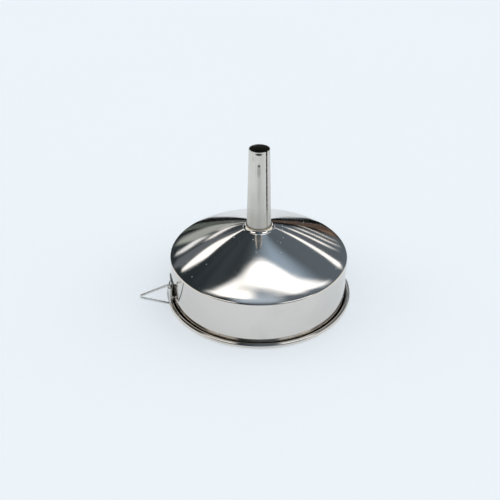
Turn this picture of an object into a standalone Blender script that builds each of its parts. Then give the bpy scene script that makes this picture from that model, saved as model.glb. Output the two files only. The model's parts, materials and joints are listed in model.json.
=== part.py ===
"""A sheet-metal bottle funnel: shallow coned bowl, wired rim, tapered spout and a swinging hanging loop.

Metres, +Z up. The funnel stands mouth down, with its rim on Z = 0 and its spout up.
"""
import math

import bmesh
import bpy
from mathutils import Matrix

MM = 0.001

# Bowl: one sheet pressed and spun to shape.
SHEET = 0.6 * MM
WALL_RADIUS = 80.0 * MM
WALL_HEIGHT = 42.7 * MM
CONE_ANGLE = math.radians(21.7)
SHOULDER_BEND = 1.6 * MM

# Neck: the cone's edge round the spout, turned up in a wide bend and still leaning outwards.
NECK_RISE = 2.0 * MM
NECK_FLARE = 0.95 * MM
NECK_BEND = 5.2 * MM

# Rim: the wall's edge turned outwards and rolled round a wire.
BEAD_RADIUS = 2.13 * MM
BEAD_TO_WALL = 1.01 * MM
RIM_FOOT_BEND = 1.5 * MM
CURL_END = math.radians(202.0)

# Spout: a tapered tube rolled from sheet, with a butt seam down one side.
SPOUT_RISE = 72.9 * MM
SPOUT_SHEET = 0.8 * MM
SPOUT_TIP_RADIUS = 8.89 * MM
SPOUT_BASE_RADIUS = 10.78 * MM
SPOUT_INSET = 2.0 * MM
SEAM_GAP = 0.7 * MM
SEAM_AZIMUTH = math.radians(-49.0)
SEAM_RECESS = 0.2 * MM
LIP_ROUND = 0.15 * MM

# Weld bead between the neck and the spout.
WELD_LEG = 1.1 * MM
WELD_ROUNDING = 0.6

# Hanging loop: a bent wire triangle whose straight base turns in the hanger.
LOOP_WIRE_RADIUS = 1.05 * MM
LOOP_BASE = 20.9 * MM
LOOP_REACH = 29.0 * MM
LOOP_BEND = 1.6 * MM
LOOP_SWING = math.radians(-12.1)
LOOP_JOINT_FROM_CORNER = 4.2 * MM
LOOP_JOINT_GAP = 0.3 * MM

# Hanger: a strap folded round the loop's base, both ends laid back along the wall.
STRAP = 0.45 * MM
STRAP_END_ROOM = 0.97 * MM
HINGE_STANDOFF = 4.3 * MM
HINGE_AZIMUTH = math.radians(200.3)
STRAP_ARC = math.radians(15.8)
LAYER_GAP = 0.15 * MM
INNER_BEND_AT = 3.6 * MM
OUTER_BEND_AT = 5.0 * MM
STRAP_BEND = 0.9 * MM
WELD_MARK_RADIUS = 1.7 * MM
WELD_MARK_DEPTH = 0.22 * MM
WELD_MARK_SPREAD = 7.0 * MM
WELD_MARK_SHARE = 0.7

# Clearances between separate pieces.
FIT = 0.3 * MM
WELD_FIT = 0.15 * MM
SWING_FIT = 0.2 * MM
LOOP_OVER_BEAD = 1.2 * MM

# Heights and fits that follow from the sizes above.
COLLAR_RADIUS = (
    SPOUT_BASE_RADIUS
    + (SPOUT_BASE_RADIUS - SPOUT_TIP_RADIUS) * SPOUT_INSET / SPOUT_RISE
    + FIT
    + SHEET / 2
)
NECK_CORNER = COLLAR_RADIUS + NECK_FLARE
NECK_TOP = (
    WALL_HEIGHT - SHEET / 2 + (WALL_RADIUS - SHEET / 2 - NECK_CORNER) * math.tan(CONE_ANGLE) + NECK_RISE
)
TOTAL_HEIGHT = NECK_TOP + SPOUT_RISE
BEAD_OFFSET = BEAD_TO_WALL + BEAD_RADIUS
RIM_WIRE_RADIUS = BEAD_RADIUS - SHEET - FIT

STEPS_LARGE = 96
STEPS_SMALL = 64
SHARP_EDGE = math.radians(30.0)

STEEL = (0.72, 0.71, 0.69)
SATIN_STEEL = (0.66, 0.66, 0.64)
WELD_METAL = (0.60, 0.55, 0.47)
WIRE_STEEL = (0.70, 0.70, 0.69)


def clear_scene():
    for thing in list(bpy.data.objects):
        bpy.data.objects.remove(thing, do_unlink=True)


def new_collection(name, hidden=False):
    made = bpy.data.collections.new(name)
    bpy.context.scene.collection.children.link(made)
    made.hide_render = hidden
    return made


def make_material(name, color, roughness, metallic=1.0):
    material = bpy.data.materials.new(name)
    material.use_nodes = True
    shader = material.node_tree.nodes["Principled BSDF"]
    shader.inputs["Base Color"].default_value = (*color, 1.0)
    shader.inputs["Roughness"].default_value = roughness
    shader.inputs["Metallic"].default_value = metallic
    material.diffuse_color = (*color, 1.0)
    return material


def arc(centre, radius, start, end, count):
    """Points on an arc in a plane, both ends included."""
    return [
        (
            centre[0] + radius * math.cos(start + (end - start) * i / count),
            centre[1] + radius * math.sin(start + (end - start) * i / count),
        )
        for i in range(count + 1)
    ]


def round_corner(before, corner, after, radius, count):
    """The arc that replaces a corner, tangent to both of its sides."""
    to_before = math.atan2(before[1] - corner[1], before[0] - corner[0])
    to_after = math.atan2(after[1] - corner[1], after[0] - corner[0])
    turn = (to_after - to_before + math.pi) % (2 * math.pi) - math.pi
    half = abs(turn) / 2
    middle = to_before + turn / 2
    reach = radius / math.sin(half)
    centre = (corner[0] + reach * math.cos(middle), corner[1] + reach * math.sin(middle))
    side = 1.0 if turn > 0 else -1.0
    start = to_before - side * math.pi / 2
    sweep = side * (math.pi - 2 * half)
    return arc(centre, radius, start, start - sweep, count)


def strip_outline(path, thickness):
    """The closed outline of a strip of even thickness along an open path."""
    left = []
    right = []
    last = len(path) - 1
    for i, point in enumerate(path):
        normals = []
        for a, b in ((i - 1, i), (i, i + 1)):
            if a >= 0 and b <= last:
                dx = path[b][0] - path[a][0]
                dy = path[b][1] - path[a][1]
                length = math.hypot(dx, dy)
                normals.append((-dy / length, dx / length))
        nx = sum(n[0] for n in normals) / len(normals)
        ny = sum(n[1] for n in normals) / len(normals)
        size = math.hypot(nx, ny)
        stretch = thickness / 2 / (size * size)
        left.append((point[0] + nx * stretch, point[1] + ny * stretch))
        right.append((point[0] - nx * stretch, point[1] - ny * stretch))
    return left + right[::-1]


def clockwise(outline):
    area = sum(
        a[0] * b[1] - b[0] * a[1] for a, b in zip(outline, outline[1:] + outline[:1])
    )
    return outline if area < 0 else outline[::-1]


def add_object(name, mesh, collection, material):
    made = bpy.data.objects.new(name, mesh)
    collection.objects.link(made)
    mesh.materials.append(material)
    return made


def smooth(target):
    target.data.shade_smooth()
    target.data.set_sharp_from_angle(angle=SHARP_EDGE)


def turned(name, outline, steps, collection, material):
    """A ring turned from a closed outline of (radius, height) points."""
    points = clockwise(outline)
    mesh = bpy.data.meshes.new(name)
    edges = [(i, (i + 1) % len(points)) for i in range(len(points))]
    mesh.from_pydata([(r, 0.0, z) for r, z in points], edges, [])
    made = add_object(name, mesh, collection, material)
    screw = made.modifiers.new("Turn", "SCREW")
    screw.axis = "Z"
    screw.angle = 2 * math.pi
    screw.steps = steps
    screw.render_steps = steps
    screw.use_merge_vertices = True
    screw.merge_threshold = 0.00001
    screw.use_smooth_shade = True
    return made


def spout_outer(height):
    """Outer radius of the spout at a height."""
    share = (height - NECK_TOP) / (TOTAL_HEIGHT - NECK_TOP)
    return SPOUT_BASE_RADIUS + (SPOUT_TIP_RADIUS - SPOUT_BASE_RADIUS) * share


def bowl_path():
    """Middle line of the bowl's sheet, from the neck's top edge to the end of the rim's curl."""
    wall = WALL_RADIUS - SHEET / 2
    neck_top = (COLLAR_RADIUS, NECK_TOP)
    neck = (NECK_CORNER, NECK_TOP - NECK_RISE)
    shoulder = (wall, WALL_HEIGHT - SHEET / 2)
    foot = (wall, SHEET / 2)
    bead = (WALL_RADIUS + BEAD_OFFSET, BEAD_RADIUS)
    below = (bead[0], SHEET / 2)
    path = [neck_top]
    path += round_corner(neck_top, neck, shoulder, NECK_BEND, 5)
    path += round_corner(neck, shoulder, foot, SHOULDER_BEND, 4)
    path += round_corner(shoulder, foot, below, RIM_FOOT_BEND, 4)
    start = -math.pi / 2
    path += arc(bead, BEAD_RADIUS - SHEET / 2, start, CURL_END, 15)
    return path


def make_bowl(collection):
    outline = strip_outline(bowl_path(), SHEET)
    return turned("bowl", outline, STEPS_LARGE, collection, make_material("polished_steel", STEEL, 0.12))


def make_rim_wire(collection):
    centre = (WALL_RADIUS + BEAD_OFFSET, BEAD_RADIUS)
    outline = arc(centre, RIM_WIRE_RADIUS, 0.0, 2 * math.pi, 10)[:-1]
    material = make_material("rim_wire_steel", WIRE_STEEL, 0.35)
    return turned("rim_wire", outline, STEPS_LARGE, collection, material)


def make_spout(collection, tools):
    base = NECK_TOP - SPOUT_INSET
    r_base = spout_outer(base)
    outline = [
        (r_base - SPOUT_SHEET, base),
        (r_base, base),
        (SPOUT_TIP_RADIUS, TOTAL_HEIGHT - LIP_ROUND),
        (SPOUT_TIP_RADIUS - LIP_ROUND, TOTAL_HEIGHT),
        (SPOUT_TIP_RADIUS - SPOUT_SHEET + LIP_ROUND, TOTAL_HEIGHT),
        (SPOUT_TIP_RADIUS - SPOUT_SHEET, TOTAL_HEIGHT - LIP_ROUND),
    ]
    material = make_material("satin_steel", SATIN_STEEL, 0.28)
    spout = turned("spout", outline, STEPS_SMALL, collection, material)
    # The seam is cut by a thin blade that stands on one side of the axis.
    height = TOTAL_HEIGHT - base
    blade_mesh = bpy.data.meshes.new("seam_blade")
    builder = bmesh.new()
    bmesh.ops.create_cube(builder, size=1.0)
    reach = 2 * SPOUT_BASE_RADIUS
    bmesh.ops.scale(builder, vec=(reach, SEAM_GAP, 1.2 * height), verts=builder.verts)
    bmesh.ops.translate(builder, vec=(reach / 2 + SPOUT_TIP_RADIUS / 3, 0.0, base + height / 2), verts=builder.verts)
    bmesh.ops.rotate(builder, cent=(0, 0, 0), matrix=Matrix.Rotation(SEAM_AZIMUTH, 3, "Z"), verts=builder.verts)
    builder.to_mesh(blade_mesh)
    builder.free()
    blade = bpy.data.objects.new("seam_blade", blade_mesh)
    tools.objects.link(blade)
    blade.display_type = "WIRE"
    blade.hide_render = True
    cut = spout.modifiers.new("Seam", "BOOLEAN")
    cut.operation = "DIFFERENCE"
    cut.solver = "EXACT"
    cut.object = blade
    return spout


def make_seam_weld(collection):
    """A thin bar of weld metal in the seam, a little below the tube's outer face."""
    base = NECK_TOP - SPOUT_INSET + FIT
    top = TOTAL_HEIGHT - 2 * LIP_ROUND
    depth = SPOUT_SHEET - SEAM_RECESS
    lean = (spout_outer(top) - spout_outer(base)) / (top - base)
    middle = (spout_outer(base) + spout_outer(top)) / 2 - SPOUT_SHEET + depth / 2
    mesh = bpy.data.meshes.new("spout_seam_weld")
    builder = bmesh.new()
    bmesh.ops.create_cube(builder, size=1.0)
    bmesh.ops.scale(builder, vec=(depth, SEAM_GAP - 2 * WELD_FIT, top - base), verts=builder.verts)
    for vert in builder.verts:
        vert.co.x += vert.co.z * lean
    bmesh.ops.translate(builder, vec=(middle, 0.0, (base + top) / 2), verts=builder.verts)
    bmesh.ops.rotate(builder, cent=(0, 0, 0), matrix=Matrix.Rotation(SEAM_AZIMUTH, 3, "Z"), verts=builder.verts)
    builder.to_mesh(mesh)
    builder.free()
    return add_object("spout_seam_weld", mesh, collection, make_material("seam_weld_metal", WELD_METAL, 0.5))


def make_neck_weld(collection):
    """A ring of weld metal lying on the neck's top edge and against the spout."""
    lean = math.atan2(NECK_FLARE, NECK_RISE)
    seat = NECK_TOP + SHEET / 2 * math.sin(lean) + WELD_FIT
    inner = spout_outer(seat) + WELD_FIT
    neck_outer = COLLAR_RADIUS + SHEET / 2 * math.cos(lean)
    top = seat + WELD_LEG
    rounding = WELD_LEG * WELD_ROUNDING
    outline = [(inner, seat), (neck_outer, seat)]
    outline += round_corner((neck_outer, seat), (neck_outer, top), (inner, top), rounding, 4)
    outline += [(inner, top)]
    material = make_material("neck_weld_metal", WELD_METAL, 0.38)
    return turned("neck_weld", outline, STEPS_SMALL, collection, material)


def hinge_centre():
    radius = WALL_RADIUS + HINGE_STANDOFF
    return radius * math.cos(HINGE_AZIMUTH), radius * math.sin(HINGE_AZIMUTH)


def loop_centre_height():
    """Height of the middle of the loop's base: its lower corner passes just over the bead."""
    return 2 * BEAD_RADIUS + LOOP_OVER_BEAD + LOOP_WIRE_RADIUS + LOOP_BASE / 2 - LOOP_BEND / 2


def strap_height():
    """The strap covers the straight part of the loop's base, less some room at each end."""
    corner = math.atan2(LOOP_REACH, LOOP_BASE / 2)
    straight = LOOP_BASE - 2 * LOOP_BEND / math.tan(corner / 2)
    return straight - 2 * STRAP_END_ROOM


def wrap(point):
    """A point given along the wall and off it, laid round the funnel's axis."""
    along, off = point
    angle = HINGE_AZIMUTH - along / (WALL_RADIUS + HINGE_STANDOFF)
    radius = WALL_RADIUS + off
    return radius * math.cos(angle), radius * math.sin(angle)


def tangent_angle(point, centre, radius, side):
    """Angle on a circle where the line from a point touches it."""
    dx = centre[0] - point[0]
    dy = centre[1] - point[1]
    spread = math.asin(radius / math.hypot(dx, dy))
    return math.atan2(dy, dx) + side * (spread + math.pi / 2)


def strap_path():
    """Middle line of the strap: leaf, round the loop's base, and back over the leaf."""
    centre = (0.0, HINGE_STANDOFF)
    radius = LOOP_WIRE_RADIUS + SWING_FIT + STRAP / 2
    inner_off = FIT + STRAP / 2
    outer_off = inner_off + STRAP + LAYER_GAP
    length = STRAP_ARC * (WALL_RADIUS + HINGE_STANDOFF)
    inner_bend = (INNER_BEND_AT, inner_off)
    outer_bend = (OUTER_BEND_AT, outer_off)
    start = tangent_angle(inner_bend, centre, radius, 1.0)
    end = tangent_angle(outer_bend, centre, radius, -1.0)
    curl = arc(centre, radius, start, end, 16)
    path = [(length * (5 - i) / 5, inner_off) for i in range(4)]
    path += round_corner(path[-1], inner_bend, curl[0], STRAP_BEND, 3)
    path += curl
    path += round_corner(curl[-1], outer_bend, (length, outer_off), STRAP_BEND, 3)
    path += [(length * i / 5, outer_off) for i in range(2, 6)]
    return [wrap(point) for point in path]


def make_hanger(collection, tools):
    curve = bpy.data.curves.new("strap_outline", "CURVE")
    curve.dimensions = "2D"
    curve.fill_mode = "BOTH"
    curve.extrude = strap_height() / 2
    outline = strip_outline(strap_path(), STRAP)
    spline = curve.splines.new("POLY")
    spline.points.add(len(outline) - 1)
    for slot, (x, y) in zip(spline.points, outline):
        slot.co = (x, y, 0.0, 1.0)
    spline.use_cyclic_u = True
    flat = bpy.data.objects.new("strap_outline", curve)
    mesh = bpy.data.meshes.new_from_object(flat)
    bpy.data.objects.remove(flat)
    builder = bmesh.new()
    builder.from_mesh(mesh)
    bmesh.ops.remove_doubles(builder, verts=builder.verts, dist=0.001 * MM)
    builder.to_mesh(mesh)
    builder.free()
    strap = add_object("hanger_strap", mesh, collection, make_material("strap_steel", STEEL, 0.2))
    strap.location.z = loop_centre_height()
    # Two round electrode marks where the leaf is spot-welded.
    top_off = FIT + 2 * STRAP + LAYER_GAP
    ball = (WELD_MARK_RADIUS**2 + WELD_MARK_DEPTH**2) / (2 * WELD_MARK_DEPTH)
    along = STRAP_ARC * (WALL_RADIUS + HINGE_STANDOFF) * WELD_MARK_SHARE
    x, y = wrap((along, top_off + ball - WELD_MARK_DEPTH))
    for i, side in enumerate((-1.0, 1.0)):
        z = loop_centre_height() + side * WELD_MARK_SPREAD / 2
        bpy.ops.mesh.primitive_uv_sphere_add(segments=48, ring_count=24, radius=ball, location=(x, y, z))
        dent = bpy.context.object
        dent.name = "weld_mark_%d" % (i + 1)
        for owner in list(dent.users_collection):
            owner.objects.unlink(dent)
        tools.objects.link(dent)
        dent.display_type = "WIRE"
        dent.hide_render = True
        cut = strap.modifiers.new("Mark", "BOOLEAN")
        cut.operation = "DIFFERENCE"
        cut.solver = "EXACT"
        cut.object = dent
    return strap


def loop_points():
    """The loop's wire in its own plane: X away from the hinge, Z along it."""
    half = LOOP_BASE / 2
    low = (0.0, -half)
    high = (0.0, half)
    tip = (LOOP_REACH, 0.0)
    leg = math.hypot(LOOP_REACH, half)
    joint = LOOP_JOINT_FROM_CORNER / leg
    gap = LOOP_JOINT_GAP / leg
    start = (LOOP_REACH * joint, -half * (1 - joint))
    end = (LOOP_REACH * (joint + gap), -half * (1 - joint - gap))
    points = [start]
    points += round_corner(tip, low, high, LOOP_BEND, 6)
    points += round_corner(low, high, tip, LOOP_BEND, 6)
    points += round_corner(high, tip, low, LOOP_BEND, 9)
    points += [end]
    return points


def make_loop(collection):
    curve = bpy.data.curves.new("hanging_loop", "CURVE")
    curve.dimensions = "3D"
    curve.bevel_depth = LOOP_WIRE_RADIUS
    curve.bevel_resolution = 3
    curve.use_fill_caps = True
    points = loop_points()
    spline = curve.splines.new("POLY")
    spline.points.add(len(points) - 1)
    for slot, (x, z) in zip(spline.points, points):
        slot.co = (x, 0.0, z, 1.0)
    loop = bpy.data.objects.new("hanging_loop", curve)
    collection.objects.link(loop)
    curve.materials.append(make_material("loop_wire_steel", WIRE_STEEL, 0.15))
    x, y = hinge_centre()
    loop.location = (x, y, loop_centre_height())
    loop.rotation_euler = (0.0, 0.0, HINGE_AZIMUTH + LOOP_SWING)
    return loop


def axis_shift():
    """How far the funnel's axis stands from the middle of the whole object's box."""
    rim = WALL_RADIUS + BEAD_OFFSET + BEAD_RADIUS
    sharp = math.atan2(LOOP_BASE / 2, LOOP_REACH)
    reach = LOOP_REACH - LOOP_BEND / math.sin(sharp) + LOOP_BEND
    x, _ = hinge_centre()
    tip = -x - reach * math.cos(HINGE_AZIMUTH + LOOP_SWING) + LOOP_WIRE_RADIUS
    return (tip - rim) / 2


def main():
    clear_scene()
    parts = new_collection("canning_funnel")
    tools = new_collection("cutters", hidden=True)
    make_bowl(parts)
    make_rim_wire(parts)
    make_spout(parts, tools)
    seam_weld = make_seam_weld(parts)
    make_neck_weld(parts)
    strap = make_hanger(parts, tools)
    make_loop(parts)
    for piece in (strap, seam_weld):
        smooth(piece)
    # The whole funnel is moved so that the box round it, loop included, stands on the origin.
    shift = axis_shift()
    for thing in [*parts.objects, *tools.objects]:
        thing.location.x += shift


main()
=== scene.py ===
import json
import math
import bmesh
import bpy
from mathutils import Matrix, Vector


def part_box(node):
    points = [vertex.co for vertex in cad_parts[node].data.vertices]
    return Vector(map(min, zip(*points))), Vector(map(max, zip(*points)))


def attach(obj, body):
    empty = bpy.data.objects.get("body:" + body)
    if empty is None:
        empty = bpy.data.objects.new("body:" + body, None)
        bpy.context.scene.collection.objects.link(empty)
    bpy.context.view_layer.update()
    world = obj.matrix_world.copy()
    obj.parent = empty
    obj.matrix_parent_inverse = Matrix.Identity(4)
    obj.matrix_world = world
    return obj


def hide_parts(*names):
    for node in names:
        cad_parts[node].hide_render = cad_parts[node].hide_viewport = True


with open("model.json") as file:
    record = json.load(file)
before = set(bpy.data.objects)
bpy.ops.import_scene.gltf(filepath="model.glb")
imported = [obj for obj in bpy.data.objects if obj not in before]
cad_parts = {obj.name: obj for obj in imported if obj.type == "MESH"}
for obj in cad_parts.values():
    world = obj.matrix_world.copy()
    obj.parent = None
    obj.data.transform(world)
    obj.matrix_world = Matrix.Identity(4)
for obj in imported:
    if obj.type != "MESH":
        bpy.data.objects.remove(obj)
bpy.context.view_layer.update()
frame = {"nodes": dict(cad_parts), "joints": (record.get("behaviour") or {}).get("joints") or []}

mm = 0.001
scene = bpy.context.scene

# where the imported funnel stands
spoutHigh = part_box("spout")[1]
bowlLow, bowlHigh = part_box("bowl")
strapLow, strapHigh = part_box("hanger_strap")
axisX = (bowlLow.x + bowlHigh.x) / 2
axisY = (bowlLow.y + bowlHigh.y) / 2
rimRadius = (bowlHigh.y - bowlLow.y) / 2
hinge = next(j for j in frame["joints"] if j["name"] == "loop_swing")
print("frame loaded, axis at", round(axisX, 5), "rim radius", round(rimRadius, 5))


def arcPoints(centre, radius, start, end, count):
    step = (end - start) / count
    return [
        (centre[0] + radius * math.cos(start + step * i), centre[1] + radius * math.sin(start + step * i))
        for i in range(count + 1)
    ]


def roundCorner(before, corner, after, radius, count):
    toBefore = math.atan2(before[1] - corner[1], before[0] - corner[0])
    toAfter = math.atan2(after[1] - corner[1], after[0] - corner[0])
    turn = (toAfter - toBefore + math.pi) % (2 * math.pi) - math.pi
    half = abs(turn) / 2
    reach = radius / math.sin(half)
    middle = toBefore + turn / 2
    centre = (corner[0] + reach * math.cos(middle), corner[1] + reach * math.sin(middle))
    side = 1.0 if turn > 0 else -1.0
    start = toBefore - side * math.pi / 2
    return arcPoints(centre, radius, start, start - side * (math.pi - 2 * half), count)


def stripOutline(path, thickness):
    left, right = [], []
    for i, point in enumerate(path):
        normals = []
        for a, b in ((i - 1, i), (i, i + 1)):
            if a >= 0 and b < len(path):
                dx, dy = path[b][0] - path[a][0], path[b][1] - path[a][1]
                size = math.hypot(dx, dy)
                normals.append((-dy / size, dx / size))
        nx = sum(n[0] for n in normals) / len(normals)
        ny = sum(n[1] for n in normals) / len(normals)
        reach = thickness / 2 / (nx * nx + ny * ny)
        left.append((point[0] + nx * reach, point[1] + ny * reach))
        right.append((point[0] - nx * reach, point[1] - ny * reach))
    return left + right[::-1]


def turnedPiece(name, outline, steps, material):
    # a closed outline of (radius, height) points turned round the funnel's axis
    area = sum(a[0] * b[1] - b[0] * a[1] for a, b in zip(outline, outline[1:] + outline[:1]))
    points = outline if area < 0 else outline[::-1]
    mesh = bpy.data.meshes.new(name)
    edges = [(i, (i + 1) % len(points)) for i in range(len(points))]
    mesh.from_pydata([(r, 0.0, z) for r, z in points], edges, [])
    piece = bpy.data.objects.new(name, mesh)
    scene.collection.objects.link(piece)
    piece.location = (axisX, axisY, 0.0)
    screw = piece.modifiers.new("turn", "SCREW")
    screw.axis = "Z"
    screw.steps = steps
    screw.render_steps = steps
    screw.use_merge_vertices = True
    screw.merge_threshold = 0.00001
    screw.use_smooth_shade = True
    applyModifiers(piece)
    piece.data.materials.append(material)
    return piece


def applyModifiers(piece):
    graph = bpy.context.evaluated_depsgraph_get()
    done = bpy.data.meshes.new_from_object(piece.evaluated_get(graph))
    piece.modifiers.clear()
    piece.data = done


def smoothPiece(piece, degrees=35):
    piece.data.shade_smooth()
    piece.data.set_sharp_from_angle(angle=math.radians(degrees))


# shader helpers
def addNode(tree, kind, **values):
    node = tree.nodes.new(kind)
    for key, value in values.items():
        setattr(node, key, value)
    return node


def plug(tree, source, target):
    tree.links.new(source, target)


def mathNode(tree, operation, a, b=None, clamp=False):
    node = addNode(tree, "ShaderNodeMath", operation=operation, use_clamp=clamp)
    for slot, value in zip(node.inputs, (a, b)):
        if value is None:
            continue
        if isinstance(value, (int, float)):
            slot.default_value = value
        else:
            plug(tree, value, slot)
    return node.outputs[0]


def newGroup(name, inputs, outputs):
    group = bpy.data.node_groups.new(name, "ShaderNodeTree")
    for label, kind, value in inputs:
        made = group.interface.new_socket(label, in_out="INPUT", socket_type=kind)
        if value is not None:
            made.default_value = value
    for label, kind in outputs:
        group.interface.new_socket(label, in_out="OUTPUT", socket_type=kind)
    return group, group.nodes.new("NodeGroupInput"), group.nodes.new("NodeGroupOutput")


def makeTurningMarks():
    # fine rings left by the spinning lathe, from the distance to the axis
    group, start, end = newGroup(
        "turningMarks",
        [
            ("Vector", "NodeSocketVector", None),
            ("Rings per metre", "NodeSocketFloat", 1500.0),
            ("Patchiness", "NodeSocketFloat", 0.5),
        ],
        [("Rings", "NodeSocketFloat"), ("Broad", "NodeSocketFloat")],
    )
    split = addNode(group, "ShaderNodeSeparateXYZ")
    plug(group, start.outputs["Vector"], split.inputs[0])
    squareX = mathNode(group, "MULTIPLY", split.outputs[0], split.outputs[0])
    squareY = mathNode(group, "MULTIPLY", split.outputs[1], split.outputs[1])
    radius = mathNode(group, "SQRT", mathNode(group, "ADD", squareX, squareY))
    along = mathNode(group, "ADD", radius, mathNode(group, "MULTIPLY", split.outputs[2], 1.3))
    fine = addNode(group, "ShaderNodeTexNoise", noise_dimensions="1D")
    fine.inputs["Detail"].default_value = 4.0
    fine.inputs["Roughness"].default_value = 0.7
    fine.inputs["Scale"].default_value = 1.0
    plug(group, mathNode(group, "MULTIPLY", along, start.outputs["Rings per metre"]), fine.inputs["W"])
    patch = addNode(group, "ShaderNodeTexNoise")
    patch.inputs["Scale"].default_value = 28.0
    patch.inputs["Detail"].default_value = 2.0
    plug(group, start.outputs["Vector"], patch.inputs["Vector"])
    mixed = mathNode(group, "MULTIPLY", mathNode(group, "SUBTRACT", patch.outputs["Fac"], 0.5), start.outputs["Patchiness"])
    ringHeight = mathNode(group, "MULTIPLY", fine.outputs["Fac"], mathNode(group, "ADD", mixed, 1.0))
    plug(group, ringHeight, end.inputs["Rings"])
    broad = addNode(group, "ShaderNodeTexNoise", noise_dimensions="1D")
    broad.inputs["Detail"].default_value = 1.0
    broad.inputs["Scale"].default_value = 1.0
    plug(group, mathNode(group, "MULTIPLY", along, 90.0), broad.inputs["W"])
    plug(group, broad.outputs["Fac"], end.inputs["Broad"])
    return group


def makeHairScratches():
    # sparse fine scratches in two directions
    group, start, end = newGroup(
        "hairScratches",
        [("Vector", "NodeSocketVector", None), ("Scale", "NodeSocketFloat", 60.0), ("Amount", "NodeSocketFloat", 0.5)],
        [("Scratches", "NodeSocketFloat")],
    )
    total = None
    for angle, shift in ((0.4, 0.0), (1.9, 3.1)):
        turn = addNode(group, "ShaderNodeMapping")
        turn.inputs["Rotation"].default_value = (angle * 0.7, angle, angle * 1.3)
        turn.inputs["Location"].default_value = (shift, shift, shift)
        turn.inputs["Scale"].default_value = (1.0, 1.0, 0.05)
        plug(group, start.outputs["Vector"], turn.inputs["Vector"])
        cells = addNode(group, "ShaderNodeTexVoronoi", feature="DISTANCE_TO_EDGE")
        plug(group, turn.outputs[0], cells.inputs["Vector"])
        plug(group, start.outputs["Scale"], cells.inputs["Scale"])
        line = addNode(group, "ShaderNodeMapRange")
        line.inputs["From Min"].default_value = 0.0
        line.inputs["From Max"].default_value = 0.012
        line.inputs["To Min"].default_value = 1.0
        line.inputs["To Max"].default_value = 0.0
        plug(group, cells.outputs["Distance"], line.inputs["Value"])
        where = addNode(group, "ShaderNodeTexNoise")
        where.inputs["Scale"].default_value = 45.0
        plug(group, turn.outputs[0], where.inputs["Vector"])
        keep = mathNode(group, "GREATER_THAN", where.outputs["Fac"], 0.56)
        one = mathNode(group, "MULTIPLY", line.outputs[0], keep)
        total = one if total is None else mathNode(group, "ADD", total, one, clamp=True)
    plug(group, mathNode(group, "MULTIPLY", total, start.outputs["Amount"]), end.inputs["Scratches"])
    return group


def makeSmudges():
    # soft wiping haze and small dried specks
    group, start, end = newGroup(
        "smudges",
        [("Vector", "NodeSocketVector", None), ("Haze", "NodeSocketFloat", 0.5), ("Specks", "NodeSocketFloat", 0.5)],
        [("Haze", "NodeSocketFloat"), ("Specks", "NodeSocketFloat")],
    )
    cloud = addNode(group, "ShaderNodeTexNoise")
    cloud.inputs["Scale"].default_value = 22.0
    cloud.inputs["Detail"].default_value = 5.0
    cloud.inputs["Distortion"].default_value = 0.6
    plug(group, start.outputs["Vector"], cloud.inputs["Vector"])
    soft = addNode(group, "ShaderNodeMapRange", interpolation_type="SMOOTHSTEP")
    soft.inputs["From Min"].default_value = 0.42
    soft.inputs["From Max"].default_value = 0.72
    plug(group, cloud.outputs["Fac"], soft.inputs["Value"])
    plug(group, mathNode(group, "MULTIPLY", soft.outputs[0], start.outputs["Haze"]), end.inputs["Haze"])
    dots = addNode(group, "ShaderNodeTexVoronoi")
    dots.inputs["Scale"].default_value = 420.0
    plug(group, start.outputs["Vector"], dots.inputs["Vector"])
    dot = addNode(group, "ShaderNodeMapRange", interpolation_type="SMOOTHSTEP")
    dot.inputs["From Min"].default_value = 0.14
    dot.inputs["From Max"].default_value = 0.25
    dot.inputs["To Min"].default_value = 1.0
    dot.inputs["To Max"].default_value = 0.0
    plug(group, dots.outputs["Distance"], dot.inputs["Value"])
    tint = addNode(group, "ShaderNodeSeparateColor")
    plug(group, dots.outputs["Color"], tint.inputs[0])
    split = addNode(group, "ShaderNodeSeparateXYZ")
    plug(group, start.outputs["Vector"], split.inputs[0])
    squareX = mathNode(group, "MULTIPLY", split.outputs[0], split.outputs[0])
    squareY = mathNode(group, "MULTIPLY", split.outputs[1], split.outputs[1])
    near = addNode(group, "ShaderNodeMapRange")
    near.inputs["From Min"].default_value = 0.018
    near.inputs["From Max"].default_value = 0.036
    near.inputs["To Min"].default_value = 0.74
    near.inputs["To Max"].default_value = 0.988
    plug(group, mathNode(group, "SQRT", mathNode(group, "ADD", squareX, squareY)), near.inputs["Value"])
    few = mathNode(group, "GREATER_THAN", tint.outputs[0], near.outputs[0])
    speck = mathNode(group, "MULTIPLY", dot.outputs[0], few)
    plug(group, mathNode(group, "MULTIPLY", speck, start.outputs["Specks"]), end.inputs["Specks"])
    return group


def makeRubbedGrain():
    # long fine lines along Z, as left by rubbing a tube lengthwise
    group, start, end = newGroup(
        "rubbedGrain",
        [("Vector", "NodeSocketVector", None), ("Across", "NodeSocketFloat", 900.0), ("Along", "NodeSocketFloat", 14.0)],
        [("Grain", "NodeSocketFloat"), ("Clouds", "NodeSocketFloat")],
    )
    stretch = addNode(group, "ShaderNodeCombineXYZ")
    plug(group, start.outputs["Across"], stretch.inputs[0])
    plug(group, start.outputs["Across"], stretch.inputs[1])
    plug(group, start.outputs["Along"], stretch.inputs[2])
    scaled = addNode(group, "ShaderNodeVectorMath", operation="MULTIPLY")
    plug(group, start.outputs["Vector"], scaled.inputs[0])
    plug(group, stretch.outputs[0], scaled.inputs[1])
    lines = addNode(group, "ShaderNodeTexNoise")
    lines.inputs["Scale"].default_value = 1.0
    lines.inputs["Detail"].default_value = 3.0
    plug(group, scaled.outputs[0], lines.inputs["Vector"])
    plug(group, lines.outputs["Fac"], end.inputs["Grain"])
    clouds = addNode(group, "ShaderNodeTexNoise")
    clouds.inputs["Scale"].default_value = 55.0
    clouds.inputs["Detail"].default_value = 3.0
    plug(group, start.outputs["Vector"], clouds.inputs["Vector"])
    plug(group, clouds.outputs["Fac"], end.inputs["Clouds"])
    return group


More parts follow.
